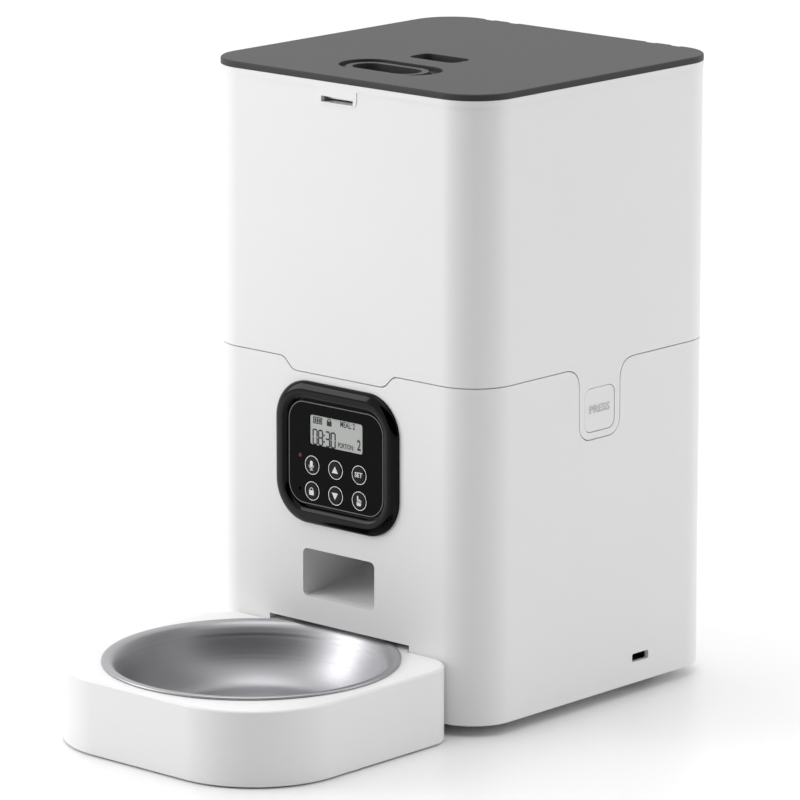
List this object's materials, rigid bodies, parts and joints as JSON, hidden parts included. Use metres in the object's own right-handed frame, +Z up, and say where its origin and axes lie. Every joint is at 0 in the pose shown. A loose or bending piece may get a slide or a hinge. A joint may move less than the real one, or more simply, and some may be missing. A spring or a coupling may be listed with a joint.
{
  "type": "automatic pet feeder",
  "caption": "Tall square dry-food feeder for pets: hinged dark lid on a lift-off hopper, motor base with timer panel and outlet, pull-out tray with a steel bowl.",
  "frame": {"origin": "middle of the whole footprint, tray included, on the surface that the feeder stands on", "axes": "+Z up; the panel and the bowl face -Y; +X is to the right of someone who faces the panel, the side with the power socket"},
  "size_m": [0.188, 0.3375, 0.325],
  "materials": {
    "white_abs": "moulded white ABS, satin",
    "dark_abs": "moulded dark grey ABS, fine texture",
    "natural_pp": "moulded polypropylene",
    "panel_black": "polished black ABS",
    "face_black": "black acrylic",
    "lcd_glass": "reflective display glass",
    "button_black": "satin black",
    "steel": "spun stainless steel",
    "spring_steel": "drawn spring wire",
    "shaft_steel": "ground steel",
    "screw_steel": "zinc plated",
    "gear_pom": "moulded acetal",
    "brass": "turned brass",
    "rubber_dark": "moulded rubber",
    "silicone": "moulded silicone",
    "rotor_tpe": "soft moulded elastomer",
    "board_green": "solder-masked board",
    "component_black": "moulded epoxy",
    "led_red": "red lens",
    "cell_wrap": "printed foil sleeve",
    "desiccant_paper": "non-woven sachet"
  },
  "bodies": {
    "base": {"base_housing": "white_abs", "base_plate": "white_abs", "rubber_feet": "rubber_dark", "housing_screws": "screw_steel", "feed_deck": "natural_pp", "drop_baffle": "silicone", "outlet_chute": "white_abs", "outlet_sensors": "component_black", "shaft_bushes": "brass", "gearbox_case": "natural_pp", "gearbox_cover": "natural_pp", "idler_pin": "shaft_steel", "gear_motor": "steel", "panel_bezel": "panel_black", "panel_face": "face_black", "lcd_module": "lcd_glass", "control_board": "board_green", "board_screws": "screw_steel", "tact_switches": "component_black", "status_led": "led_red", "microphone": "component_black", "speaker": "component_black", "power_socket": "component_black", "battery_bay": "natural_pp", "battery_cells": "cell_wrap", "battery_contacts": "spring_steel", "battery_door": "white_abs"},
    "hopper": {"hopper_shell": "white_abs", "hopper_funnel": "natural_pp", "hinge_pins": "shaft_steel", "press_spring_right": "spring_steel", "press_spring_left": "spring_steel"},
    "lid": {"lid_cover": "dark_abs", "lid_liner": "natural_pp", "lid_seal": "silicone", "lid_screws": "screw_steel", "desiccant_holder": "natural_pp", "desiccant_bag": "desiccant_paper", "latch_spring": "spring_steel"},
    "desiccant_cap": {"desiccant_cap": "natural_pp"},
    "lid_latch": {"latch_slider": "dark_abs", "latch_tongue": "steel"},
    "press_right": {"press_latch_right": "white_abs"},
    "press_left": {"press_latch_left": "white_abs"},
    "rotor": {"feed_rotor": "rotor_tpe", "rotor_shaft": "shaft_steel", "output_gear": "gear_pom"},
    "idler": {"idler_gear": "gear_pom"},
    "pinion": {"motor_pinion": "gear_pom", "motor_shaft": "shaft_steel"},
    "tray": {"bowl_tray": "white_abs", "tray_floor": "white_abs", "tray_pads": "rubber_dark"},
    "bowl": {"steel_bowl": "steel"},
    "key_record": {"button_record": "button_black"},
    "key_up": {"button_up": "button_black"},
    "key_set": {"button_set": "button_black"},
    "key_lock": {"button_lock": "button_black"},
    "key_down": {"button_down": "button_black"},
    "key_feed": {"button_feed": "button_black"}
  },
  "joints": [
    {"name": "hopper_lift", "type": "slide", "parent": "base", "child": "hopper", "axis": [0, 0, 1], "range_m": [0, 0.11]},
    {"name": "lid_hinge", "type": "hinge", "parent": "hopper", "child": "lid", "pos_m": [0, 0.16615, 0.321], "axis": [-1, 0, 0], "range_deg": [0, 95]},
    {"name": "latch_slide", "type": "slide", "parent": "lid", "child": "lid_latch", "axis": [0, 1, 0], "range_m": [0, 0.005], "stiffness_N_per_m": 400, "deforming": ["latch_spring"]},
    {"name": "desiccant_twist", "type": "hinge", "parent": "lid", "child": "desiccant_cap", "pos_m": [0, 0.10325, 0.293], "axis": [0, 0, 1], "range_deg": [0, 40]},
    {"name": "press_right_slide", "type": "slide", "parent": "hopper", "child": "press_right", "axis": [-1, 0, 0], "range_m": [0, 0.0025], "stiffness_N_per_m": 800, "deforming": ["press_spring_right"]},
    {"name": "press_left_slide", "type": "slide", "parent": "hopper", "child": "press_left", "axis": [1, 0, 0], "range_m": [0, 0.0025], "stiffness_N_per_m": 800, "deforming": ["press_spring_left"]},
    {"name": "rotor_spin", "type": "hinge", "parent": "base", "child": "rotor", "pos_m": [0, 0.07425, 0.105], "axis": [0, 0, 1], "continuous": true},
    {"name": "idler_spin", "type": "hinge", "parent": "base", "child": "idler", "pos_m": [0, 0.10225, 0.06], "axis": [0, 0, 1], "continuous": true},
    {"name": "pinion_spin", "type": "hinge", "parent": "base", "child": "pinion", "pos_m": [0, 0.12825, 0.055], "axis": [0, 0, 1], "continuous": true},
    {"name": "tray_pull", "type": "slide", "parent": "base", "child": "tray", "axis": [0, -1, 0], "range_m": [0, 0.06]},
    {"name": "bowl_turn", "type": "hinge", "parent": "tray", "child": "bowl", "pos_m": [0, -0.08835, 0.039], "axis": [0, 0, 1], "continuous": true},
    {"name": "press_record", "type": "slide", "parent": "base", "child": "key_record", "axis": [0, 1, 0], "range_m": [0, 0.0008], "stiffness_N_per_m": 300},
    {"name": "press_up", "type": "slide", "parent": "base", "child": "key_up", "axis": [0, 1, 0], "range_m": [0, 0.0008], "stiffness_N_per_m": 300},
    {"name": "press_set", "type": "slide", "parent": "base", "child": "key_set", "axis": [0, 1, 0], "range_m": [0, 0.0008], "stiffness_N_per_m": 300},
    {"name": "press_lock", "type": "slide", "parent": "base", "child": "key_lock", "axis": [0, 1, 0], "range_m": [0, 0.0008], "stiffness_N_per_m": 300},
    {"name": "press_down", "type": "slide", "parent": "base", "child": "key_down", "axis": [0, 1, 0], "range_m": [0, 0.0008], "stiffness_N_per_m": 300},
    {"name": "press_feed", "type": "slide", "parent": "base", "child": "key_feed", "axis": [0, 1, 0], "range_m": [0, 0.0008], "stiffness_N_per_m": 300}
  ],
  "couplings": [
    {"joint": "idler_spin", "follows": "rotor_spin", "ratio": -3.6667},
    {"joint": "pinion_spin", "follows": "rotor_spin", "ratio": 12.222}
  ]
}
